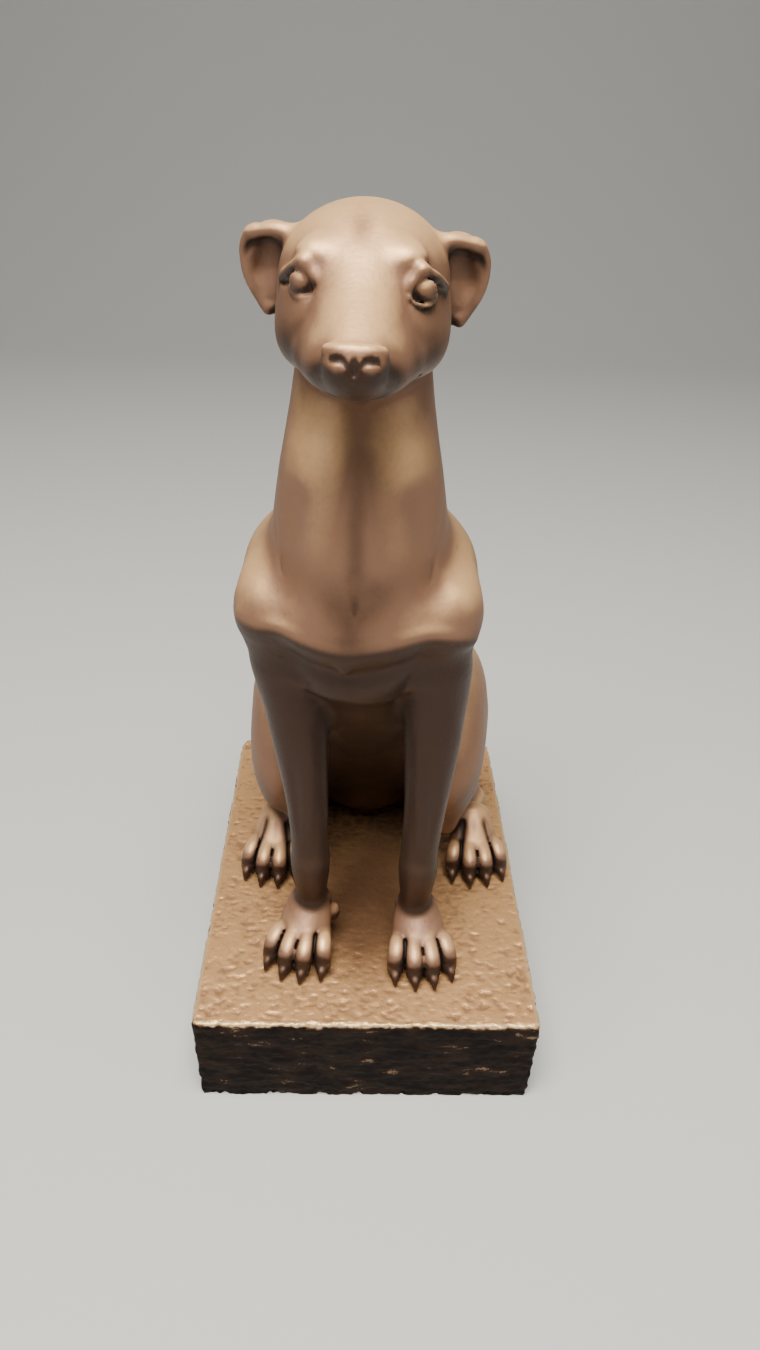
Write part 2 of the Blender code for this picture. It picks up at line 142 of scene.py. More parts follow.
# The top: dents with ridges between them, folds and a slow swell, all weaker in the middle where it
# was rubbed flat, and a raised rim.
apply_modifier(block, "REMESH", mode="VOXEL", voxel_size=BLOCK_VOXEL)
co = points_of(block)
x, y, z = co.T
to_side = np.minimum(BLOCK_WIDTH / 2 - np.abs(x), BLOCK_LENGTH / 2 - np.abs(y))
to_top = BLOCK_HEIGHT - z
on_top = smooth_step(to_side, 0.0004, 0.0022) * smooth_step(to_top, 0.0030, 0.0006)
on_side = smooth_step(to_side, 0.0030, 0.0006) * smooth_step(to_top, 0.0004, 0.0020)
flat_part = np.exp(-((x - 0.006) / 0.040) ** 2 - ((y + 0.018) / 0.062) ** 2)
crumple = 0.22 + 1.00 * (1 - flat_part) + 0.20 * lumps(co, 0.030, 1, seed=3.1)
ridge = creases(co * (1, 1, 0.3), 0.0054, 0.0026)
folds = 1 - 2.4 * np.abs(lumps(co, 0.0044, 3, stretch=(1.3, 0.8, 3), seed=21.0))
swell = lumps(co, 0.0085, 2, seed=8.0)
top_height = crumple * (RIDGE_HEIGHT * ridge + FOLD_HEIGHT * folds + SWELL_HEIGHT * swell) - TOP_SINK
rim = np.exp(-((to_side - 0.0010) / 0.0012) ** 2)
rim_lift = rim * (0.00026 + 0.00050 * lumps(co, 0.0036, 3, seed=31.0))
z_new = z + on_top * np.minimum(top_height + rim_lift, HIGHEST_RISE)

# The sides: level streaks and pits, chips along the arrises and most of all at the corners, a slight
# taper, and an undercut just below the top.
streak = lumps(co, 0.0032, 3, stretch=(2.6, 2.6, 0.8), seed=12.0)
pits = creases(co, 0.0050, 0.0022, seed=40.0)
side_depth = 0.00055 + 0.00040 * streak - 0.00035 * pits + 0.00030 * lumps(co, 0.013, 2, seed=17.0)
chips = smooth_step(lumps(co, 0.0042, 3, seed=52.0), 0.12, 0.55)
near_arris = np.exp(-(to_top / 0.0022) ** 2) + 0.8 * np.exp(-(z / 0.0018) ** 2)
corner_reach = np.hypot(np.maximum(np.abs(x) - BLOCK_WIDTH / 2 + 0.004, 0),
                        np.maximum(np.abs(y) - BLOCK_LENGTH / 2 + 0.004, 0))
near_arris = near_arris + 0.7 * smooth_step(corner_reach, 0.0036, 0.0052)
taper = TAPER_DEPTH * np.clip(1 - z / BLOCK_HEIGHT, 0, 1) ** 1.3
inward = on_side * (side_depth + CHIP_DEPTH * chips * near_arris) + taper * smooth_step(to_side, 0.010, 0.0)
turned_in = np.exp(-(to_top / 0.0010) ** 2) * TURN_IN_DEPTH * (1 + 1.5 * lumps(co, 0.0026, 3, seed=61.0))
inward = np.maximum(inward + turned_in * smooth_step(to_side, 0.0030, 0.0), 0)

# Each point on a side moves straight in, and one in a corner moves in towards the corner's centre.
over_x = np.abs(x) - (BLOCK_WIDTH / 2 - FRONT_CORNER)
over_y = np.abs(y) - (BLOCK_LENGTH / 2 - FRONT_CORNER)
to_edge = np.stack([np.maximum(over_x, 0) * np.sign(x), np.maximum(over_y, 0) * np.sign(y)], 1)
away = to_edge / np.maximum(np.linalg.norm(to_edge, axis=1), 1e-6)[:, None]
co[:, :2] -= away * inward[:, None]
co[:, 2] = z_new
move_points(block, co)
apply_modifier(block, "DECIMATE", ratio=min(1.0, BLOCK_TRIANGLES / (2 * len(block.data.polygons))))
co = points_of(block)
co[:, 2] = np.maximum(co[:, 2], 0)
move_points(block, co)
bpy.ops.object.shade_smooth()


class Wire:
    """The value on a socket, so that a finish is written as plain sums."""

    def __init__(self, finish, socket):
        self.finish = finish
        self.socket = socket

    def sum(self, operation, first, second):
        return self.finish.add("Math", {"operation": operation}, {0: first, 1: second})

    def __add__(self, other):
        return self.sum("ADD", self, other)

    def __radd__(self, other):
        return self.sum("ADD", other, self)

    def __sub__(self, other):
        return self.sum("SUBTRACT", self, other)

    def __rsub__(self, other):
        return self.sum("SUBTRACT", other, self)

    def __mul__(self, other):
        return self.sum("MULTIPLY", self, other)

    def __rmul__(self, other):
        return self.sum("MULTIPLY", other, self)


class Finish:
    """A material in the making. Everything on it is measured along the piece's own object coordinates."""

    def __init__(self, name):
        self.material = bpy.data.materials.new(name)
        self.material.use_nodes = True
        self.tree = self.material.node_tree
        self.shader = self.tree.nodes["Principled BSDF"]
        self.place = self.add("TexCoord", {}, {}, out="Object")

    def add(self, kind, settings, sockets, out=0):
        """One node: its settings first, then a value or a wire for each socket named."""
        node = self.tree.nodes.new("ShaderNode" + kind)
        for name, value in settings.items():
            setattr(node, name, value)
        for socket, value in sockets.items():
            if isinstance(value, Wire):
                self.tree.links.new(value.socket, node.inputs[socket])
            else:
                node.inputs[socket].default_value = value
        return Wire(self, node.outputs[out])

    def attribute(self, name):
        """The value that the mesh carries at each point under this name."""
        return self.add("Attribute", {"attribute_name": name}, {}, out="Fac")

    def stretched(self, amounts):
        """The coordinates times an amount along each axis. A noise is drawn out where it is small."""
        return self.add("Mapping", {}, {"Vector": self.place, "Scale": amounts})

    def speckle(self, size, detail=2.0, place=None):
        """Noise from 0 to 1 with lumps of this size in metres."""
        return self.add("TexNoise", {}, {"Vector": place or self.place, "Scale": 0.5 / size,
                                         "Detail": detail, "Roughness": 0.55})

    def between(self, value, low, high):
        """0 below low and 1 above high, easing in between."""
        return self.add("MapRange", {"interpolation_type": "SMOOTHSTEP"},
                        {"Value": value, "From Min": low, "From Max": high, "To Min": 0.0, "To Max": 1.0})

    def blend(self, share, first, second):
        """From the first colour to the second as the share goes from 0 to 1."""
        return self.add("Mix", {"data_type": "RGBA"}, {0: share, 6: first, 7: second}, out=2)

    def bumps(self, height, depth, under=None):
        """Shallow relief from a height, with this depth in metres, over finer relief if there is any."""
        sockets = {"Height": height, "Strength": 1.0, "Distance": depth}
        if under:
            sockets["Normal"] = under
        return self.add("Bump", {}, sockets)

    def set(self, socket, value):
        """Gives a socket of the shader a wire or a plain value."""
        if isinstance(value, Wire):
            self.tree.links.new(value.socket, self.shader.inputs[socket])
        else:
            self.shader.inputs[socket].default_value = value


def give_attribute(thing, name, values):
    """Lets a piece's mesh carry one value at each point, for its finish to read."""
    layer = thing.data.attributes.new(name, "FLOAT", "POINT")
    layer.data.foreach_set("value", values.astype(np.float32))


# The block's paint: gold wiped over tan on the top, a painted brown shadow between the paws, a bright worn
# rim, and black sides with brown and tan scuffs.
TOP_GOLD = (0.72, 0.41, 0.185, 1)
TOP_TAN = (0.420, 0.230, 0.118, 1)
TOP_SHADOW_BROWN = (0.130, 0.062, 0.034, 1)
RIM_BRIGHT = (0.76, 0.54, 0.29, 1)
SIDE_DARK = (0.0055, 0.0028, 0.0020, 1)
SIDE_BROWN = (0.020, 0.0105, 0.0068, 1)
SIDE_TAN = (0.22, 0.135, 0.080, 1)

co = points_of(block)
to_side = np.minimum(BLOCK_WIDTH / 2 - np.abs(co[:, 0]), BLOCK_LENGTH / 2 - np.abs(co[:, 1]))
ragged = co[:, 2] + 0.0009 * lumps(co, 0.0030, 3, seed=71.0)
top_paint = smooth_step(ragged, BLOCK_HEIGHT - 0.0018, BLOCK_HEIGHT - 0.0009)
give_attribute(block, "top_paint", top_paint)
give_attribute(block, "rim_paint", top_paint * np.exp(-(to_side / 0.0026) ** 2))
give_attribute(block, "relief", np.clip((co[:, 2] - BLOCK_HEIGHT + 0.0007) / 0.0008, 0, 1))
# Painted shadow: the top is darkened round where the dog sits, most between its front paws.
dog_shadow = np.exp(-((co[:, 0] + 0.003) / 0.026) ** 2 - ((co[:, 1] + 0.030) / 0.042) ** 2)
give_attribute(block, "under_dog", dog_shadow)

stone = Finish("rough bronze paint")
top = stone.attribute("top_paint")
rim = stone.attribute("rim_paint")
relief = stone.attribute("relief")
near_dog = stone.attribute("under_dog")
cloud = stone.speckle(0.016, 3.0)
sand = stone.speckle(0.0011, 3.0)
dust = stone.speckle(0.00035, 2.0)
wiped = stone.between(relief + 0.7 * (sand - 0.5) + 0.6 * (cloud - 0.5), 0.20, 0.80)
gold = stone.blend(wiped, TOP_TAN, TOP_GOLD)
# The painted shadow of the dog, laid over the gold.
shadowed_by_dog = stone.between(1.25 * near_dog + 0.8 * (cloud - 0.5) + 0.5 * (sand - 0.5), 0.20, 1.10)
gold = stone.blend(shadowed_by_dog * 0.85, gold, TOP_SHADOW_BROWN)
gold = stone.blend(stone.between(rim + 0.5 * (sand - 0.5), 0.45, 0.95), gold, RIM_BRIGHT)
streaks = stone.speckle(0.0030, 3.0, stone.stretched((0.45, 0.45, 1.35)))
fine_streaks = stone.speckle(0.0012, 3.0, stone.stretched((0.35, 0.35, 1.3)))
side = stone.blend(stone.between(streaks + 0.4 * (sand - 0.5), 0.42, 0.66), SIDE_DARK, SIDE_BROWN)
tan = stone.between(0.6 * streaks + 0.55 * fine_streaks + 0.25 * (dust - 0.5), 0.705, 0.77)
side = stone.blend(tan * 0.8, side, SIDE_TAN)
stone.set("Base Color", stone.blend(top, side, gold))
stone.set("Metallic", 0.12 + 0.38 * top)
stone.set("Roughness", 0.72 - 0.24 * top - 0.12 * wiped * top + 0.18 * (sand - 0.5))
small = stone.bumps(sand * 0.6 + dust * 0.4, 0.00030)
stone.set("Normal", stone.bumps(stone.speckle(0.0026, 4.0), 0.00055, small))
stone.set("Specular IOR Level", 0.16)
block.data.materials.clear()
block.data.materials.append(stone.material)
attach(block, "root")
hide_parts("plinth")


# The greyhound, cast in resin in one piece with its feet and haunches bedded on the block. It was
# built up in clay, masses first and then ridges and grooves drawn into the skin, and is painted
# as aged bronze in dark brown and warm gold, with light and shade painted in: lighter on what faces up,
# darker below.
# Its form is written in the sculptor's millimetres, from under the front feet, looking along -Y.

DOG_UNIT = 0.001
DOG_TURN = math.radians(-3.8)
DOG_PLACE = Vector((-0.0045, -0.0497, BLOCK_HEIGHT + 0.0004))
DOG_PIVOT = Vector((0, -50, 0))
BEDDING = 0.5
DOG_CELL = 0.72
DOG_TRIANGLES = 196000
COARSE = 4
OUTSIDE = 60.0
MARGIN = 3.0
PATH_STEPS = 5
CLOSING_ROUNDS = 3
POINTS_AT_ONCE = 150000
LEAST_WIDTH = 0.05
STROKE_REACH = 2.4
BOTH_SIDES = (-1, 1)
BODY_SHIFT = -2.0
EYE_SHIFT = BODY_SHIFT + 0.7
LEG_SHIFT = 2.7


class Path:
    """A smooth curve through stations, each a point and a size."""

    def __init__(self, points, sizes):
        """Works out the powers of t for each span. A single station becomes a very short curve."""
        stations = np.column_stack([points, np.broadcast_to(sizes, len(points))]).astype(float)
        if len(stations) == 1:
            stations = np.vstack([stations, stations + (1e-4, 0, 0, 0)])
        ends = np.vstack([2 * stations[0] - stations[1], stations, 2 * stations[-1] - stations[-2]])
        a, b, c, d = ends[:-3], ends[1:-2], ends[2:-1], ends[3:]
        self.spans = len(a)
        self.powers = 0.5 * np.stack([2 * b, c - a, 2 * a - 5 * b + 4 * c - d, 3 * b - a - 3 * c + d], 1)
        self.trial = np.linspace(0, self.spans, self.spans * PATH_STEPS + 1)
        self.samples = self.at(self.trial)[0]

    def at(self, t):
        """Place and size at each t, and how both change along the curve."""
        span = np.minimum(t.astype(int), self.spans - 1)
        u = (t - span)[:, None]
        p = self.powers[span]
        place = p[:, 0] + u * (p[:, 1] + u * (p[:, 2] + u * p[:, 3]))
        speed = p[:, 1] + u * (2 * p[:, 2] + 3 * u * p[:, 3])
        bend = 2 * p[:, 2] + 6 * u * p[:, 3]
        return place, speed, bend

    def box(self, spread):
        """The centre and the half sizes of a box round the curve, this many widths clear of it."""
        low = self.samples[:, :3].min(0)
        high = self.samples[:, :3].max(0)
        return (low + high) / 2, (high - low) / 2 + self.samples[:, 3].max() * spread

    def nearest(self, points):
        """The way from the closest place on the curve to each point, and the curve's size there."""
        ways, sizes = [], []
        for p in np.array_split(points, len(points) // POINTS_AT_ONCE + 1):
            far = (self.samples[:, :3] ** 2).sum(1) - 2 * p @ self.samples[:, :3].T
            t = self.trial[far.argmin(1)]
            for _ in range(CLOSING_ROUNDS):
                place, speed, bend = self.at(t)
                off = p - place[:, :3]
                speed, bend = speed[:, :3], bend[:, :3]
                slope = np.einsum("ij,ij->i", speed, speed) - np.einsum("ij,ij->i", off, bend)
                slope = np.maximum(slope, 0.3 * np.einsum("ij,ij->i", speed, speed))
                t = np.clip(t + np.einsum("ij,ij->i", off, speed) / np.maximum(slope, 1e-9), 0, self.spans)
            place = self.at(t)[0]
            ways.append(p - place[:, :3])
            sizes.append(place[:, 3])
        return np.vstack(ways), np.concatenate(sizes)


class Clay:
    """Masses, strokes and touches of paint and of painted light and shade, each a step, and how far a point
    is from the skin.
    """

    def __init__(self):
        self.steps = []
        self.tints = []
        self.shift = 0.0

    def moved(self, points):
        """The same places, moved sideways by the shift that is set."""
        return np.array(points, float) + (self.shift, 0, 0)

    def ball(self, centre, radii, blend=4.0, tip=0.0, scoop=False):
        """An ellipsoid, its front end tipped up by an angle in degrees. A scoop is cut away."""
        radii = np.array(radii, float)
        reach = np.full(3, radii.max()) if tip else radii
        shape = (radii, math.radians(tip))
        self.steps.append(("ball", self.moved(centre), reach, shape, blend, scoop))

    def limb(self, points, radii, blend=4.0, flat=(1, 1, 1), scoop=False):
        """A tapering rod along a curve, its section widened or narrowed along the axes."""
        path = Path(self.moved(points), radii)
        centre, reach = path.box(max(flat))
        self.steps.append(("limb", centre, reach, (path, np.array(flat, float)), blend, scoop))

    def line(self, points, width):
        """The box and the path of a stroke or a touch of paint."""
        path = Path(self.moved(points), width)
        return (*path.box(STROKE_REACH), (path,))

    def stroke(self, points, width, height):
        """A soft ridge along a curve, or a groove where the height is negative."""
        centre, reach, shape = self.line(points, width)
        self.steps.append(("stroke", centre, reach, shape, height, False))

    def tint(self, points, width, amount):
        """Paint along a curve, also used for painted highlights and painted shade: lighter where the amount
        is above nought, darker below.
        """
        self.tints.append((*self.line(points, width), amount))

    @staticmethod
    def ball_distance(p, radii, tip):
        """About how far a point is from an ellipsoid round the origin."""
        if tip:
            c, s = math.cos(tip), math.sin(tip)
            p = np.column_stack([p[:, 0], c * p[:, 1] - s * p[:, 2], s * p[:, 1] + c * p[:, 2]])
        scaled = np.linalg.norm(p / radii, axis=1)
        slope = np.linalg.norm(p / radii**2, axis=1)
        return scaled * (scaled - 1) / np.maximum(slope, 1e-6)

    @staticmethod
    def limb_distance(p, path, flat):
        """About how far a point is from a rod along the path."""
        way, size = path.nearest(p)
        scaled = np.linalg.norm(way / flat, axis=1)
        slope = np.linalg.norm(way / flat**2, axis=1)
        return (scaled - size) * np.where(slope > 1e-6, scaled / np.maximum(slope, 1e-6), 1)

    @staticmethod
    def profile(p, path):
        """1 on the curve, fading sideways over its width and to nothing where it narrows."""
        way, size = path.nearest(p)
        size = np.maximum(size, LEAST_WIDTH)
        return np.exp(-np.einsum("ij,ij->i", way, way) / size**2) * size / path.samples[:, 3].max()

    def distance(self, points, margin=MARGIN):
        """Millimetres to the skin, negative inside; exact only near it."""
        found = np.full(len(points), OUTSIDE)
        for kind, centre, reach, shape, blend, scoop in self.steps:
            spare = 0.0 if kind == "stroke" else margin + blend
            near = np.flatnonzero((np.abs(points - centre) < reach + spare).all(axis=1))
            if not len(near):
                continue
            p, now = points[near], found[near]
            if kind == "stroke":
                found[near] = now - blend * self.profile(p, *shape)
                continue
            new = self.ball_distance(p - centre, *shape) if kind == "ball" else self.limb_distance(p, *shape)
            if scoop:
                mix = np.clip(0.5 - 0.5 * (now + new) / blend, 0, 1)
                found[near] = now + (-new - now) * mix + blend * mix * (1 - mix)
            else:
                mix = np.clip(0.5 + 0.5 * (now - new) / blend, 0, 1)
                found[near] = now + (new - now) * mix - blend * mix * (1 - mix)
        return np.maximum(found, -points[:, 2] - BEDDING)

    def paint(self, points):
        """The sum of the touches of paint, painted highlights and shade among them, at each point."""
        found = np.zeros(len(points))
        for centre, reach, shape, amount in self.tints:
            near = np.flatnonzero((np.abs(points - centre) < reach).all(axis=1))
            if len(near):
                found[near] += amount * self.profile(points[near], *shape)
        return found


clay = Clay()

# The trunk, from the chest down the sloping back to the rump.
clay.shift = BODY_SHIFT
clay.limb([(0, -32, 142), (0, -12, 112), (0, 14, 78), (0, 34, 48), (0, 44, 28)],
          [28, 33, 30, 28, 29], 4, (0.93, 1, 1))
clay.ball((0, -6, 140), (26, 24, 25), 16)
clay.ball((0, -14, 156), (22, 17, 15), 12)
clay.ball((0, 42, 50), (27, 29, 36), 14, tip=-25)
for side in BOTH_SIDES:
    clay.limb([(side * 26, -40, 142), (side * 25.5, -24, 152), (side * 19, -9, 159)], [13, 13, 9], 14)
    clay.ball((side * 28.9 + 0.7, -42, 144), (10.4, 12, 11.5), 7)
clay.ball((0, -46, 139), (27, 19.5, 22), 8)
clay.ball((0, -40, 121), (19, 19, 13), 8)
for side in BOTH_SIDES:
    for rib in range(5):
        front = -6 + 9.0 * rib
        level = 126 - 9.5 * rib
        clay.stroke([(side * 24, front - 6, level + 10), (side * 33, front - 2, level - 2),
                     (side * 26, front - 12, level - 20)], 3.2, 0.45)
    clay.stroke([(side * 8, -32, 92), (side * 9, -18, 74), (side * 8, -4, 58)], 3.0, -0.5)
for level in (96, 84, 72, 60):
    front = np.interp(level, [50, 100], [4, -34])
    clay.stroke([(-16, front + 3, level + 4), (0, front - 2, level - 2), (16, front + 3, level + 4)],
                2.6, -0.45)
# Darker under the belly and the chest: dark paint there, deepened with painted shade.
clay.tint([(0, -52, 118), (0, -36, 100), (0, -14, 70), (0, 6, 46)], [20, 24, 24, 22], -0.72)
clay.tint([(0, -64, 116), (0, -50, 104)], 12, -0.35)

# The two hind legs, folded, each foot flat on the block with its shank along it.


def toes(heel, turn, side, hind):
    """A foot from its heel, turned outwards, with four toes that end in claws."""
    forward = np.array([side * math.sin(math.radians(turn)), -math.cos(math.radians(turn)), 0])
    outward = np.array([side * math.cos(math.radians(turn)), math.sin(math.radians(turn)), 0])
    start = np.array([side * heel[0], heel[1], 0])

    def place(out, ahead, up):
        return tuple(start + out * outward + ahead * forward + (0, 0, up))

    clay.limb([place(0, -1, 18), place(0, 5, 12.5), place(0, 11, 8.4)], [5.8, 7.0, 6.8], 3, (1.4, 1, 0.9))
    clay.ball(place(0, 9, 3), (11.5, 9, 4), 2)
    spreads = (-1.5, -0.5, 0.5, 1.5)
    for spread in spreads:
        long = 3.2 * (1.5 - abs(spread))
        clay.limb([place(spread * 5.2, 7, 9.4), place(spread * 5.9, 12.5 + 0.5 * long, 10.7),
                   place(spread * 6.5, 16.4 + long, 8.0), place(spread * 6.8, 17.8 + long, 4)],
                  [2.6, 3.2, 3.4, 3.1], 1.3)
        clay.stroke([place(spread * 6.8 - 2.6, 19.2 + long, 6.4), place(spread * 6.8, 20.6 + long, 6.8),
                     place(spread * 6.8 + 2.6, 19.2 + long, 6.4)], 0.7, -0.5)
        # Painted highlight along the top of the toe.
        clay.tint([place(spread * 5.9, 12, 13.6), place(spread * 6.4, 15.4 + long, 11.6)], [1.9, 2.1], 0.24)
        clay.tint([place(spread * 6.7, 19.0 + long, 7.6), place(spread * 6.8, 21.4 + long, 3.0)],
                  [3.2, 3.6], -1.15)
    for spread in spreads:
        long = 3.2 * (1.5 - abs(spread))
        clay.limb([place(spread * 6.8, 18.2 + long, 4.2), place(spread * 7.0, 21.0 + long, 3.2),
                   place(spread * 7.2, 23.2 + long, 0.9)], [2.3, 1.8, 0.6], 0.5)
    for gap in (-1, 0, 1):
        ahead = 1.6 * (1 - abs(gap))
        groove = [place(gap * 5.6, 11, 11.6), place(gap * 5.9, 13.5 + ahead, 11.6),
                  place(gap * 6.5, 17 + ahead, 9.2), place(gap * 6.8, 20 + ahead, 5)]
        clay.stroke(groove, [1.2, 0.9, 0.8, 0.7], -2.0)
        # Painted shade in the groove between two toes.
        clay.tint(groove, [2.1, 1.6, 1.5, 1.5], -1.15)
        if hind:
            furrow = [place(gap * 3.4, 0, 20.4), place(gap * 4.4, 5.5, 17.6), place(gap * 5.4, 11, 13.4)]
            clay.stroke(furrow, [0.3, 1.3, 1.1], -1.0)
            # Painted shade in the furrow over the foot.
            clay.tint(furrow, [0.4, 1.8, 1.9], -0.65)
    if hind:
        clay.tint([place(0, -6, 18), place(0, 6, 16)], [9, 10], -0.08)


for side, heel, turn in ((-1, (37, 3), 2), (1, (46, 10), 8)):
    clay.shift = 0.0
    x, y = heel
    clay.ball((side * 30.5, 27, 60), (20, 34, 36), 15, tip=-14)
    clay.ball((side * 33, 2, 48), (13, 19, 23), 12)
    clay.ball((side * 17, 44, 18), (14, 13, 24), 6)
    clay.limb([(side * (x - 3), y + 22, 18), (side * (x - 8.5), y + 1, 19.5), (side * (x - 12.5), y - 14, 25),
               (side * (x - 13), y - 12, 38)], [6.8, 5.2, 5.6, 9], 5)
    clay.limb([(side * x, y + 22, 10), (side * (x - 1.5), y + 12, 9), (side * x, y, 8.5)], [7.5, 6.4, 6.6], 3)
    toes(heel, turn, side, True)
    clay.stroke([(side * 49, 34, 74), (side * 47, 12, 60), (side * 41, -6, 42)], 5, -0.5)

# The neck, with the shallow valley down its front and the edge where the chest turns under.
clay.shift = BODY_SHIFT
clay.limb([(0, -28, 240), (0, -34, 214), (0, -36, 200), (0, -37, 187), (0, -35, 170), (0, -30, 150)],
          [18, 21, 23.2, 25.6, 28.2, 31], 7, (1, 1.04, 1))
valley = [(0.8, -54, 220), (0.8, -59, 202), (0.6, -61.5, 186), (0.6, -63, 168), (0.6, -63.8, 157),
          (0.6, -64.4, 146)]
clay.stroke(valley, [3.4, 3.8, 3.8, 3.2, 2.0, 0.05], -1.1)
# Darker down the valley: dark paint there, deepened with painted shade.
clay.tint(valley, [3.0, 3.4, 3.4, 3.0, 2.0, 0.05], -0.22)
clay.tint([(6, -58, 206), (7, -60, 184), (8, -62, 160)], [6, 7, 8], -0.10)
# Darker across the foot of the neck: dark paint and painted shade in the soft hollow there.
clay.tint([(-14, -62, 158), (0, -65, 148), (14, -62, 158)], [7, 10, 7], -0.40)
for side in BOTH_SIDES:
    hollow_side = [(side * 16, -54, 182), (side * 20, -55, 162), (side * 22, -50, 146)]
    clay.stroke(hollow_side, 6, -1.6)
    # Painted shade in the hollow between neck and shoulder.
    clay.tint(hollow_side, 8, -0.10)
    # Painted light: lighter on the sides and front of the neck, along the top of the breast and on the
    # shoulders.
    clay.tint([(side * 13, -52, 218), (side * 14, -56, 194), (side * 15, -60, 168)], [14, 15, 14], 0.38)
    clay.tint([(side * 13, -57, 190), (side * 15, -60, 172), (side * 17, -61, 160)], [9, 11, 10], 0.18)
    clay.tint([(side * 6, -66, 144), (side * 15, -63, 146), (side * 26, -57, 148)], [5, 6, 6], 0.30)
    clay.tint([(side * 35, -46, 146), (side * 37, -36, 150)], 9, 0.20)
    clay.stroke([(side * 27, -40, 186), (side * 27, -45, 174), (side * 25.6, -48.5, 165),
                 (side * 23, -51.6, 155)], [0.2, 1.4, 1.3, 0.1], -0.8)

# The breast turns under along a wavy edge, and ends at a second edge over the tops of the legs.
clay.stroke([(-37, -50, 140.5), (-31, -54, 139.5), (-24, -57.5, 140.5), (-16, -61, 138.5), (-8, -63.5, 136.5),
             (-1, -64, 135.8), (8, -63.5, 137.5), (16, -61, 139.8), (24, -57.5, 140.5), (32, -54.5, 138.5),
             (38, -49, 134.5)], 2.9, 1.7)
under = [(-34, -50, 130), (-24, -54, 131), (-12, -59, 128), (1, -61, 126.5), (13, -59, 129), (24, -54, 131),
         (35, -49, 128)]
clay.stroke(under, 4.6, -1.9)
# Darker below the wavy edge: dark paint, deepened with painted shade under the overhang.
clay.tint(under, [7, 7, 8, 8, 8, 7, 7], -1.15)
clay.stroke([(-2.5, -63, 131), (-2.5, -63, 128.5)], 2.4, 1.6)
clay.stroke([(-29, -49, 120.5), (-21, -51.6, 118.8), (-15.6, -51.5, 115.8), (-9, -55.5, 117),
             (-2.6, -58, 117), (4, -55.5, 115), (11, -51, 113.2), (17, -49, 114), (24, -51.5, 118.8),
             (31, -49, 121)], 2.8, 1.3)
for side in BOTH_SIDES:
    recess = [(side * 34, -46, 114), (side * 29, -50.5, 114), (side * 22, -51, 112), (side * 15, -48, 109)]
    clay.stroke(recess, [1.6, 2.8, 3.0, 2.4], -3.2)
    # Painted shadow under the second edge, where it overhangs the top of the leg.
    clay.tint(recess, 4.6, -1.2)
# Painted shade between the tops of the legs.
clay.tint([(-12, -50, 113), (0, -52, 111), (14, -48, 110)], 6, -0.4)

# The two front legs, straight down from the shoulders.
for side in BOTH_SIDES:
    def leg(x, y, z, side=side):
        """A place on a leg. Both legs slant a little, the wrists further right than the shoulders."""
        return (side * x + np.interp(z, [66, 94, 118, 136], [2.7, 1.6, -0.5, -2.0]), y, z)

    clay.shift = 0.0
    clay.limb([leg(27.6, -43, 136), leg(26.4, -36, 114), leg(24.5, -32, 94)], [11, 11, 9], 7)
    bone = [leg(25.2, -40, 118), leg(23.8, -41, 94), leg(21.7, -45, 66), leg(20.5, -47, 46),
            leg(20.3, -47.5, 36), leg(19.8, -48, 20)]
    clay.limb(bone, [10.6, 10.3, 7.8, 6.9, 7.3, 5.3], 5, (1, 1.08, 1))
    clay.stroke([leg(19, -50, 100), leg(19, -51.5, 90), leg(19.5, -53.5, 66), leg(20, -54.5, 44)],
                [0.2, 2.2, 2.2, 0.2], 0.8)
    clay.stroke([leg(24.5, -49, 98), leg(24.5, -50.5, 86), leg(24, -52, 66), leg(22.8, -53, 46)],
                [0.2, 1.8, 1.8, 0.2], -0.7)
    # Darker legs: dark paint, deepened with painted shade.
    clay.tint(bone[:4] + [leg(20.4, -50, 24)], [16, 16, 15, 14, 12], -0.85)
    clay.shift = LEG_SHIFT
    toes((20.6, -48), 10, side, False)
    clay.tint([(side * 20.6, -53, 22), (side * 21.6, -60, 13.5)], [9, 7], -0.45)
clay.shift = LEG_SHIFT
clay.ball((-11.6, -48, 12.5), (2.6, 3.4, 3.6), 2.0)
clay.tint([(-10.2, -50, 12), (-10.2, -50.4, 10.4)], 2.4, -0.8)

# The head. It is turned a little and tilts a little to one side.
clay.shift = BODY_SHIFT


def at(x, y, z):
    """A place on the head, after its turn and its tilt."""
    return (x + 0.03 * (-y - 40), y, z - 0.025 * x)


# The skull, the bridge of the muzzle, then the upper lip and the jaw as two horseshoes round the chin.
clay.ball(at(0.3, -44, 239.4), (23.6, 30, 23.8), 6)
clay.ball(at(0.3, -43, 246.2), (22.6, 27, 17.0), 4)
clay.limb([at(0, -56, 242), at(0, -70, 240.6), at(0, -84, 235.2), at(0, -94.5, 231.2)],
          [14, 10.0, 8.2, 6.6], 7, (1.15, 1, 0.95))
clay.limb([at(-13.6, -58, 230), at(-10.2, -75, 228.8), at(-5.6, -86.6, 228.4), at(0, -90.4, 228.4),
           at(5.6, -86.6, 228.4), at(10.2, -75, 228.8), at(13.6, -58, 230)],
          [7.4, 5.9, 5.3, 5.3, 5.3, 5.9, 7.4], 5)
clay.limb([at(-13.2, -57, 226.4), at(-10.4, -74.6, 225), at(-5.6, -85.2, 224.6), at(0, -88.8, 224.6),
           at(5.6, -85.2, 224.6), at(10.4, -74.6, 225), at(13.2, -57, 226.4)],
          [4.2, 2.9, 2.6, 2.6, 2.6, 2.9, 4.2], 1.2)
clay.ball(at(0, -66, 228), (12, 21, 5.5), 3)
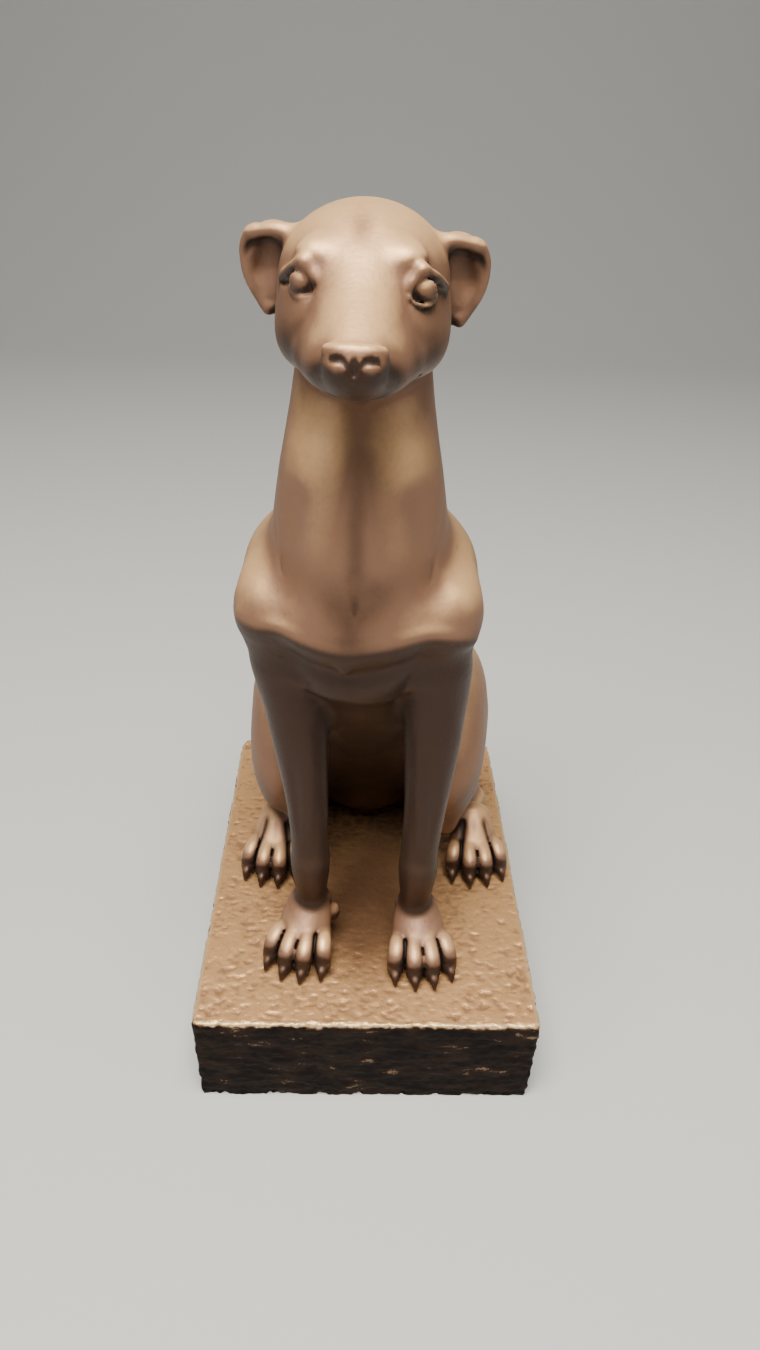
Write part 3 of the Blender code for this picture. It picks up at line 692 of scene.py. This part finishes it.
for side in BOTH_SIDES:
    # A cheek, a brow, and the fill between the cheek and the bridge.
    clay.ball(at(0.5 + side * 13.9, -52, 232.5), (9.1, 15, 10.5), 6)
    # Painted shade down the side of the muzzle.
    clay.tint([at(side * 14.5, -76, 237), at(side * 13.5, -78, 232.5)], 5, -0.42)
    clay.ball(at(side * 11.4, -64.2, 252.2), (5.2, 4.8, 3.9), 4)
    clay.limb([at(side * 10.2, -58, 238), at(side * 9.0, -70, 235), at(side * 6.2, -84, 231)],
              [8.2, 6.0, 4.6], 6)
    clay.tint([at(side * 19, -58, 240), at(side * 17, -66, 232)], 8, -0.25)

    # An eye: a blank ball in a shallow socket, an angular fold over it, the rim below it, and a
    # slit between ball and fold that runs out to a point.
    clay.shift = EYE_SHIFT
    clay.ball(at(side * 15.7, -71.4, 245.5), (4.0, 3.5, 3.6), 1.2, scoop=True)
    clay.limb([at(side * 11.6, -70.4, 244.6), at(side * 12.4, -70.0, 247.4), at(side * 15.0, -68.5, 250.4)],
              [0.6, 1.0, 1.2], 2.4)
    clay.limb([at(side * 15.0, -68.5, 250.4), at(side * 18.2, -65.2, 248.8), at(side * 20.4, -60.2, 246.4),
               at(side * 21.6, -55.4, 244.8)], [1.2, 1.2, 1.1, 0.9], 2.2)
    clay.ball(at(side * 15.1, -65.4, 245.9), (4.1, 4.6, 4.2), 0.6)
    slit = [at(side * 14.4, -69.0, 249.2), at(side * 17.4, -67.0, 247.7), at(side * 19.2, -64.0, 245.5),
            at(side * 20.9, -60.6, 244.2), at(side * 22.2, -56.6, 243.5)]
    clay.stroke(slit, [0.1, 0.6, 0.8, 0.8, 0.2], -2.2)
    # Painted shade in the slit under the fold.
    clay.tint(slit, [0.2, 0.6, 0.8, 0.8, 0.3], -1.2)
    lid = [at(side * 11.6, -71.6, 244.4), at(side * 13.4, -70.8, 242.7), at(side * 16.2, -68.7, 242.0),
           at(side * 18.3, -65.9, 242.8), at(side * 19.4, -63.2, 244.6)]
    clay.limb(lid, [0.35, 0.55, 0.6, 0.55, 0.35], 0.7)
    # Painted highlight along the rim of the lower lid.
    clay.tint(lid, 0.8, 0.35)
    # Painted highlight on the top of the eyeball.
    clay.tint([at(side * 15.0, -69.8, 246.8)], 2.6, 0.50)
    # Painted shadow in the inner corner below the ball.
    clay.tint([at(side * 12.8, -71, 243.9), at(side * 14.4, -70, 243.1)], 1.0, -0.35)
    clay.shift = BODY_SHIFT
    # Painted highlight on the brow.
    clay.tint([at(side * 10.6, -67, 254), at(side * 12.6, -65, 254)], 3.6, 0.55)

    # An ear: folded over at the top, hollow in front, with a thin rim round the hollow.
    clay.limb([at(side * 25.6, -35, 249.6), at(side * 27.2, -35, 243.4), at(side * 25.4, -35.6, 236)],
              [6.4, 6.4, 4.4], 2.5, (1.2, 0.76, 1.05))
    clay.limb([at(side * 28.0, -42.6, 249.6), at(side * 28.4, -42.8, 243), at(side * 26.6, -41.8, 236)],
              [4.8, 5.4, 3.2], 1.4, (1, 1.05, 1), scoop=True)
    clay.limb([at(side * 17, -42, 252), at(side * 24.5, -41.2, 254.4), at(side * 31.6, -38.6, 253.4)],
              [4.4, 2.2, 1.5], 2.0)
    clay.limb([at(side * 30.4, -39.0, 253.8), at(side * 33.2, -38.2, 251.6), at(side * 34.3, -37.0, 246.6),
               at(side * 32.2, -36.6, 239.5), at(side * 27.6, -37.6, 232.8)],
              [1.6, 1.3, 1.0, 1.0, 1.5], 1.6)
    clay.tint([at(side * 27, -37, 249), at(side * 28, -37, 243), at(side * 26.5, -38, 236)],
              [5, 6, 4.6], 0.15)
    # Painted highlight along the top of the fold.
    clay.tint([at(side * 20, -43, 256), at(side * 25, -43, 257), at(side * 31, -40, 255)], 2.6, 0.6)
    clay.tint([at(side * 33.6, -38, 252), at(side * 35, -37, 247), at(side * 33, -37, 239)], 1.3, 0.5)

# The nose, its nostrils, the parting below it and the line of the lips.
clay.ball(at(0, -95.2, 232.8), (7.9, 5.4, 3.6), 1.5)
clay.limb([at(-6.6, -95.4, 235.5), at(-3.4, -97.6, 236.0), at(3.4, -97.6, 236.0), at(6.6, -95.4, 235.5)],
          [1.2, 1.35, 1.35, 1.2], 2.4)
for side in BOTH_SIDES:
    nostril = [at(side * 6.2, -98.0, 232.6), at(side * 5.0, -99.0, 233.9), at(side * 3.2, -100.2, 234.2),
               at(side * 2.0, -100.8, 233.4)]
    clay.stroke(nostril, [0.2, 0.5, 0.6, 0.4], -1.2)
    # Painted shade in the nostril.
    clay.tint(nostril, [0.3, 0.7, 0.8, 0.6], -1.4)
    ala = [at(side * 5.6, -98.4, 231.6), at(side * 4.0, -99.8, 232.2), at(side * 2.6, -100.4, 231.8)]
    clay.stroke(ala, [0.6, 1.0, 0.6], 0.9)
    # Painted highlight on the wing of the nostril.
    clay.tint(ala, [0.8, 1.4, 0.8], 0.30)
    clay.stroke([at(side * 11.0, -71, 244), at(side * 12.4, -74, 237), at(side * 13.0, -70, 230)],
                [2.0, 2.6, 2.2], -0.4)
clay.stroke([at(0, -100.8, 234.2), at(0, -100.6, 231.8), at(0, -99.2, 229.6), at(0, -98.4, 228.8)],
            [0.6, 0.9, 0.4, 0.05], -1.1)
# Painted shade down the parting and in the recess under the nose.
clay.tint([at(0, -101.4, 235), at(0, -101, 231.6), at(0, -98, 228)], [1.4, 1.8, 2.6], -1.2)
clay.tint([at(-5, -98.2, 230.6), at(0, -99.4, 229.2), at(5, -98.2, 230.6)], 1.2, -0.7)
clay.tint([at(-7, -92, 228), at(0, -97, 228), at(7, -92, 228)], [5, 5.5, 5], -0.6)
lip = [(11.0, -57, 226.5), (15.6, -65, 224.2), (13.4, -76, 223.4), (8.2, -87, 223.2)]
mouth = [at(*p) for p in lip] + [at(0, -91.4, 223.4)] + [at(-x, y, z) for x, y, z in reversed(lip)]
clay.stroke(mouth, [0.4, 0.6, 0.7, 0.7, 0.7, 0.7, 0.7, 0.6, 0.4], -1.5)
clay.tint(mouth, 0.8, -0.7)
clay.stroke([at(0, -57, 262), at(0, -64, 256)], 3.5, -0.7)
clay.tint([at(0, -54, 265), at(0, -63, 258)], 3.0, -0.22)

# The tail, laid round beside the haunch.
clay.shift = 0.0
clay.limb([(0, 68, 20), (-8, 76, 9), (-24, 74, 5.5), (-38, 62, 4.6), (-44, 48, 4.2)],
          [8, 6, 4.6, 4.0, 2.8], 3)


def grid_distance(low, shape, cell):
    """Distances at the corners of a grid, worked out finely only near the skin."""
    blocks = [-(-n // COARSE) for n in shape]
    step = COARSE * cell
    axes = [low[i] + step * (np.arange(blocks[i]) + 0.5) - cell / 2 for i in range(3)]
    middles = np.stack(np.meshgrid(*axes, indexing="ij"), -1).reshape(-1, 3)
    rough = clay.distance(middles, step + MARGIN).reshape(blocks)
    whole = rough.repeat(COARSE, 0).repeat(COARSE, 1).repeat(COARSE, 2)
    near = (np.abs(rough) < step).repeat(COARSE, 0).repeat(COARSE, 1).repeat(COARSE, 2)
    whole[near] = clay.distance(low + cell * np.argwhere(near))
    return whole


def skin(values, low, cell):
    """Points and quads of the surface where the grid changes sign, a point for each cell it crosses."""
    inside = values < 0
    cells = [n - 1 for n in values.shape]
    corners = [(i, j, k) for i in (0, 1) for j in (0, 1) for k in (0, 1)]

    def corner(array, c):
        """The value at one corner of every cell."""
        return array[c[0]:c[0] + cells[0], c[1]:c[1] + cells[1], c[2]:c[2] + cells[2]]

    count = sum(corner(inside, c).astype(np.int8) for c in corners)
    crossed = (count > 0) & (count < 8)
    number = np.full(cells, -1)
    number[crossed] = np.arange(crossed.sum())
    where = np.argwhere(crossed)
    total = np.zeros((len(where), 3))
    hits = np.zeros(len(where))
    for first in corners:
        for axis in range(3):
            if first[axis]:
                continue
            second = tuple(first[i] + (i == axis) for i in range(3))
            a = corner(values, first)[crossed]
            b = corner(values, second)[crossed]
            cut = (a < 0) != (b < 0)
            point = np.repeat([np.array(first, float)], len(where), 0)
            point[:, axis] += np.where(cut, a / np.where(cut, a - b, 1), 0)
            total += point * cut[:, None]
            hits += cut
    points = low + cell * (where + total / hits[:, None])
    quads = []
    for axis in range(3):
        u, v = (axis + 1) % 3, (axis + 2) % 3
        change = inside != np.roll(inside, -1, axis)
        keep = [slice(1, n - 1) for n in inside.shape]
        keep[axis] = slice(0, inside.shape[axis] - 1)
        mask = np.zeros_like(change)
        mask[tuple(keep)] = change[tuple(keep)]
        place = np.argwhere(mask)
        ring = []
        for du, dv in ((1, 1), (0, 1), (0, 0), (1, 0)):
            cell_at = place.copy()
            cell_at[:, u] -= du
            cell_at[:, v] -= dv
            ring.append(number[tuple(cell_at.T)])
        ring = np.stack(ring, 1)
        outward = inside[tuple(place.T)]
        ring[~outward] = ring[~outward][:, ::-1]
        quads.append(ring)
    return points, np.vstack(quads)


def press(points, rounds=2, probe=0.15):
    """Moves points on to the skin along its slope."""
    for _ in range(rounds):
        here = clay.distance(points)
        slope = np.stack([clay.distance(points + probe * axis) - here for axis in np.eye(3)], 1) / probe
        points = points - np.clip(here / np.maximum((slope**2).sum(1), 0.2), -1.5, 1.5)[:, None] * slope
    return points


# The skin is drawn through a grid that holds the whole dog, thinned out, and pressed back on the form.
low = np.array([-68.0, -112.0, -2.6])
high = np.array([68.0, 96.0, 268.0])
values = grid_distance(low, np.ceil((high - low) / DOG_CELL).astype(int), DOG_CELL)
points, quads = skin(values, low, DOG_CELL)
mesh = bpy.data.meshes.new("greyhound_skin")
mesh.from_pydata(points.tolist(), [], quads.tolist())
dog = bpy.data.objects.new("greyhound_casting", mesh)
bpy.context.scene.collection.objects.link(dog)
apply_modifier(dog, "DECIMATE", ratio=min(1.0, DOG_TRIANGLES / (2 * len(quads))))
shaped = press(points_of(dog))
shaped[:, 2] = np.maximum(shaped[:, 2], -BEDDING)
move_points(dog, shaped)
normals = np.empty(len(dog.data.vertices) * 3)
dog.data.vertices.foreach_get("normal", normals)
normals = normals.reshape(-1, 3)

# How hollow each place is, by how soon a step out from the skin meets the skin again. The tone
# carries painted light and shade: lighter on what faces up, darker in the hollows as painted shade over dark
# patina, and the touches of paint and painted light come on top.
lift = 1.5
hollow = np.clip(1 - clay.distance(shaped + lift * normals) / lift, 0, 1)
wide_lift = 9.0
wide_hollow = np.clip(1 - clay.distance(shaped + wide_lift * normals, wide_lift) / wide_lift, 0, 1)
# Painted light: the tone rises with how far each place faces up.
tone = -0.42 + 1.15 * smooth_step(normals[:, 2], -0.35, 0.95) + clay.paint(shaped)
tone = tone - 0.9 * hollow - 0.35 * wide_hollow
give_attribute(dog, "tone", np.clip(tone, -1, 1))
give_attribute(dog, "hollow", hollow)
in_place = (Matrix.Translation(DOG_PLACE) @ Matrix.Rotation(DOG_TURN, 4, "Z")
            @ Matrix.Scale(DOG_UNIT, 4) @ Matrix.Translation(-DOG_PIVOT))
dog.data.transform(in_place)
apply_modifier(dog, "TRIANGULATE")
bpy.ops.object.shade_smooth()

# The dog's paint runs from dark brown through warm brown to old gold as the tone rises, with mauve
# clouds, and is nearly black deep in the hollows, as painted shade over dark patina.
DARK_BROWN = (0.040, 0.0195, 0.0120, 1)
WARM_BROWN = (0.272, 0.144, 0.080, 1)
OLD_GOLD = (0.950, 0.580, 0.268, 1)
MAUVE = (0.230, 0.125, 0.105, 1)
SHADE_AND_PATINA_BLACK = (0.012, 0.007, 0.005, 1)

bronze = Finish("aged bronze paint")
tone = bronze.attribute("tone")
hollow = bronze.attribute("hollow")
cloud = bronze.speckle(0.014, 3.0)
mottle = bronze.speckle(0.0040, 3.0)
sand = bronze.speckle(0.0007, 2.0)
level = tone + 0.30 * (cloud - 0.5) + 0.14 * (mottle - 0.5) + 0.10 * (sand - 0.5)
paint = bronze.blend(bronze.between(level, -0.75, 0.10), DARK_BROWN, WARM_BROWN)
paint = bronze.blend(bronze.between(level, 0.05, 0.80), paint, OLD_GOLD)
rosy = bronze.between(bronze.speckle(0.026, 2.0), 0.30, 0.72) * bronze.between(level, -0.6, 0.1)
paint = bronze.blend(0.36 * rosy, paint, MAUVE)
# Painted shade over dark patina: nearly black deep in the hollows.
paint = bronze.blend(bronze.between(hollow + 0.2 * (mottle - 0.5), 0.35, 0.95), paint, SHADE_AND_PATINA_BLACK)
bronze.set("Base Color", paint)
bronze.set("Metallic", 0.42 - 0.35 * hollow)
bronze.set("Roughness", 0.47 + 0.12 * (cloud - 0.5) + 0.16 * (sand - 0.5) + 0.25 * hollow)
bronze.set("Specular IOR Level", 0.4)
fine = bronze.bumps(sand, 0.00007)
bronze.set("Normal", bronze.bumps(mottle, 0.00022, fine))
dog.data.materials.clear()
dog.data.materials.append(bronze.material)
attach(dog, "root")
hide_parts("greyhound")


# The studio: a plain pale floor that curves up behind the statue, a big soft light overhead and two
# weak fills.

FLOOR_REACH = 9.0
FLOOR_DROP = 0.0002
BEND_START = 1.1
BEND_RADIUS = 0.9
WALL_TOP = 2.4

turns = np.linspace(0, math.pi / 2, 17)
bend = [(BEND_RADIUS * math.sin(a), BEND_RADIUS - BEND_RADIUS * math.cos(a)) for a in turns]
side_view = [(-FLOOR_REACH, 0.0)] + [(BEND_START + y, z) for y, z in bend]
side_view.append((BEND_START + BEND_RADIUS, WALL_TOP))
corners = [(x, y, z - FLOOR_DROP) for y, z in side_view for x in (-FLOOR_REACH, FLOOR_REACH)]
strips = [(2 * i, 2 * i + 1, 2 * i + 3, 2 * i + 2) for i in range(len(side_view) - 1)]
floor_mesh = bpy.data.meshes.new("studio_floor")
floor_mesh.from_pydata(corners, [], strips)
floor = bpy.data.objects.new("studio_floor", floor_mesh)
bpy.context.scene.collection.objects.link(floor)
floor_mesh.polygons.foreach_set("use_smooth", [True] * len(strips))
sweep = Finish("pale paper")
sweep.set("Base Color", (0.62, 0.62, 0.61, 1))
sweep.set("Roughness", 0.9)
floor.data.materials.append(sweep.material)

world = bpy.data.worlds.new("soft room")
bpy.context.scene.world = world
world.use_nodes = True
world.node_tree.nodes["Background"].inputs["Color"].default_value = (0.80, 0.82, 0.85, 1)
world.node_tree.nodes["Background"].inputs["Strength"].default_value = 0.14


STATUE_MIDDLE = Vector((0, 0, 0.15))
LAMP_SIZE = 0.7


def soft_light(name, place, watts, colour):
    """A square lamp that is aimed at the middle of the statue."""
    lamp = bpy.data.lights.new(name, "AREA")
    lamp.size = LAMP_SIZE
    lamp.energy = watts
    lamp.color = colour
    thing = bpy.data.objects.new(name, lamp)
    bpy.context.scene.collection.objects.link(thing)
    thing.location = place
    thing.rotation_euler = (STATUE_MIDDLE - Vector(place)).to_track_quat("-Z", "Y").to_euler()


soft_light("overhead", (-0.08, -0.42, 1.20), 32.0, (1.0, 0.95, 0.86))
soft_light("left fill", (-1.10, -0.70, 0.70), 2.0, (0.95, 0.97, 1.0))
soft_light("right fill", (1.10, -0.40, 0.60), 1.6, (1.0, 0.96, 0.90))

# The camera looks down on the statue from in front, as the photograph does.
CAMERA_PLACE = Vector((-0.0069, -0.3372, 0.3287))
CAMERA_LENS = 26.67
CAMERA_SENSOR = 36
yaw, pitch, roll = math.radians(1.76), math.radians(30.23), math.radians(1.88)
ahead = Vector((math.sin(yaw) * math.cos(pitch), math.cos(yaw) * math.cos(pitch), -math.sin(pitch)))
level_right = Vector((math.cos(yaw), -math.sin(yaw), 0))
level_up = level_right.cross(ahead)
right = math.cos(roll) * level_right + math.sin(roll) * level_up
up = math.cos(roll) * level_up - math.sin(roll) * level_right
camera = bpy.data.objects.new("camera", bpy.data.cameras.new("camera"))
bpy.context.scene.collection.objects.link(camera)
camera.data.lens = CAMERA_LENS
camera.data.sensor_width = CAMERA_SENSOR
camera.data.clip_start = 0.01
pose = Matrix((right, up, -ahead)).transposed().to_4x4()
pose.translation = CAMERA_PLACE
camera.matrix_world = pose
bpy.context.scene.camera = camera
